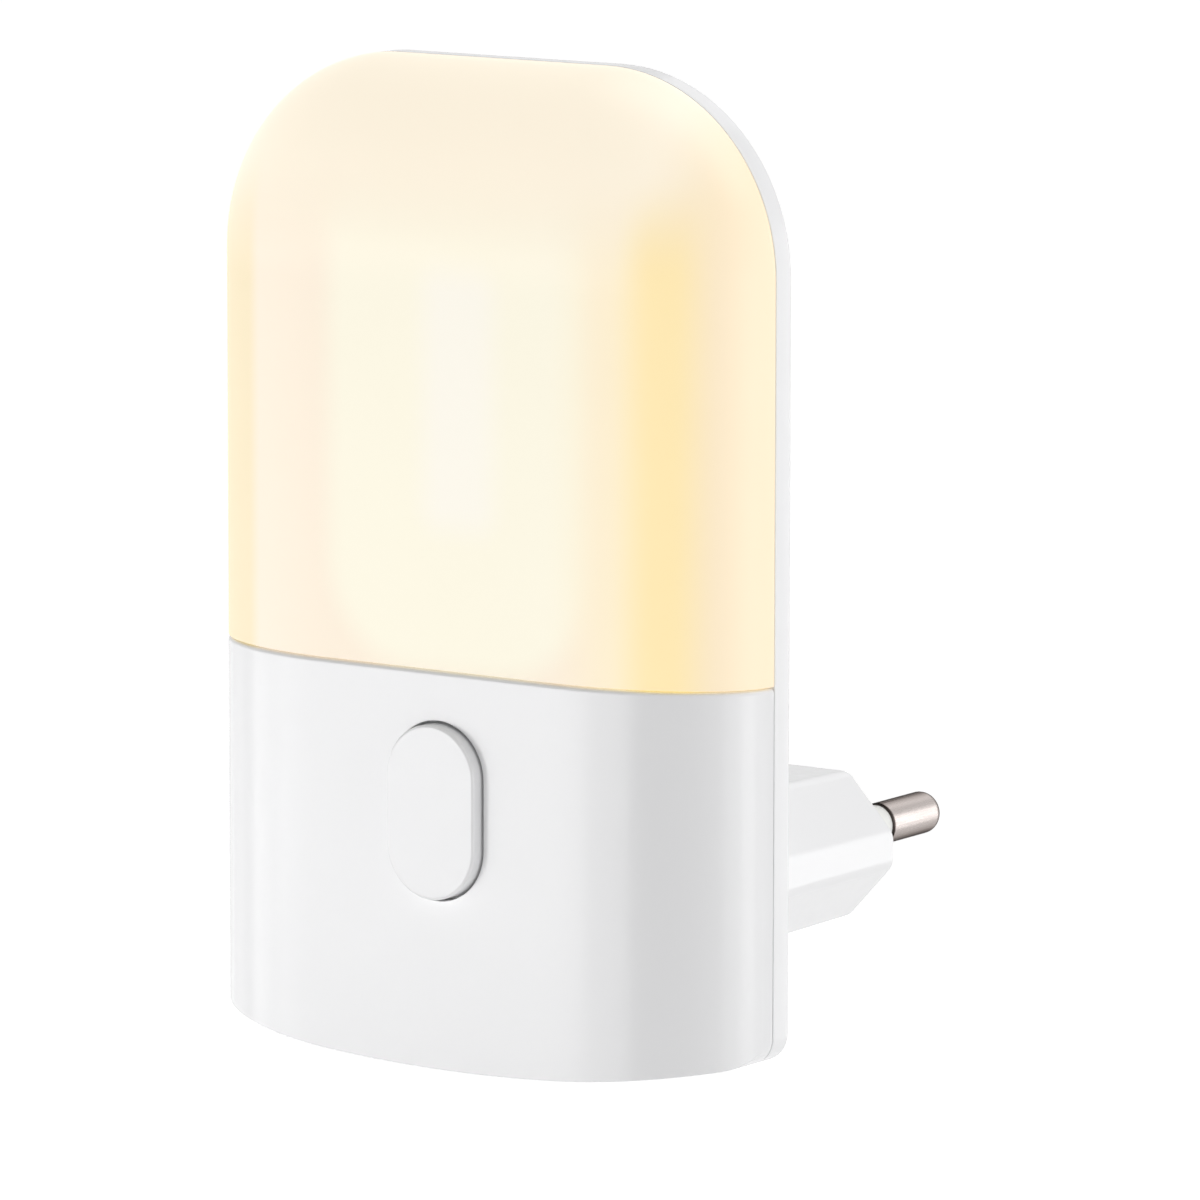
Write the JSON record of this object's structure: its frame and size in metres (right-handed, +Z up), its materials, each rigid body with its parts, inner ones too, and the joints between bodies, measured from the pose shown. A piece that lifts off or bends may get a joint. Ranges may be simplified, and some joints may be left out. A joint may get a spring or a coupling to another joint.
{
  "type": "plug-in night light",
  "caption": "Slim plug-in LED night light: opal diffuser over a white housing with a stadium push button, and a flat two-pin mains plug behind.",
  "frame": {"origin": "middle of the plug's engagement face, between the pins", "axes": "+Y along the pins into the socket, +Z up, +X to the right as seen from the lit front, which faces -Y"},
  "size_m": [0.059, 0.0672, 0.09],
  "materials": {
    "opal_plastic": "satin translucent opal, lit from inside",
    "white_gloss": "polished moulding",
    "white_satin": "fine satin moulding",
    "nickel": "nickel plate on brass",
    "board_white": "white solder mask",
    "board_green": "green solder mask",
    "lamp": "phosphor, lit",
    "film_box": "moulded box",
    "can_sleeve": "shrink sleeve",
    "epoxy": "moulded epoxy",
    "resistor_coat": "lacquered ceramic",
    "tin": "tinned",
    "steel": "zinc plated",
    "wire_red": "extruded",
    "wire_black": "extruded"
  },
  "bodies": {
    "lamp": {"diffuser": "opal_plastic", "front_housing": "white_gloss", "rear_cover": "white_gloss", "pin_carrier": "white_satin", "pin_left": "nickel", "pin_right": "nickel", "pin_sleeve_left": "white_satin", "pin_sleeve_right": "white_satin", "light_board": "board_white", "leds": "lamp", "driver_board": "board_green", "film_capacitor": "film_box", "electrolytic_capacitor": "can_sleeve", "bridge_rectifier": "epoxy", "driver_chip": "epoxy", "fuse_resistor": "resistor_coat", "chip_resistors": "epoxy", "switch_body": "epoxy", "switch_cover": "steel", "switch_dome": "steel", "switch_terminals": "tin", "led_lead_negative": "wire_black", "led_lead_positive": "wire_red", "board_screws": "steel", "case_screws": "steel"},
    "button": {"button_cap": "white_gloss"},
    "plunger": {"switch_plunger": "epoxy"}
  },
  "joints": [
    {"name": "button_press", "type": "slide", "parent": "lamp", "child": "button", "axis": [0, 1, 0], "range_m": [0, 0.00025], "stiffness_N_per_m": 4000},
    {"name": "plunger_press", "type": "slide", "parent": "lamp", "child": "plunger", "axis": [0, 1, 0], "range_m": [0, 0.00025], "deforming": ["switch_dome"]}
  ],
  "couplings": [
    {"joint": "plunger_press", "follows": "button_press", "ratio": 1}
  ]
}
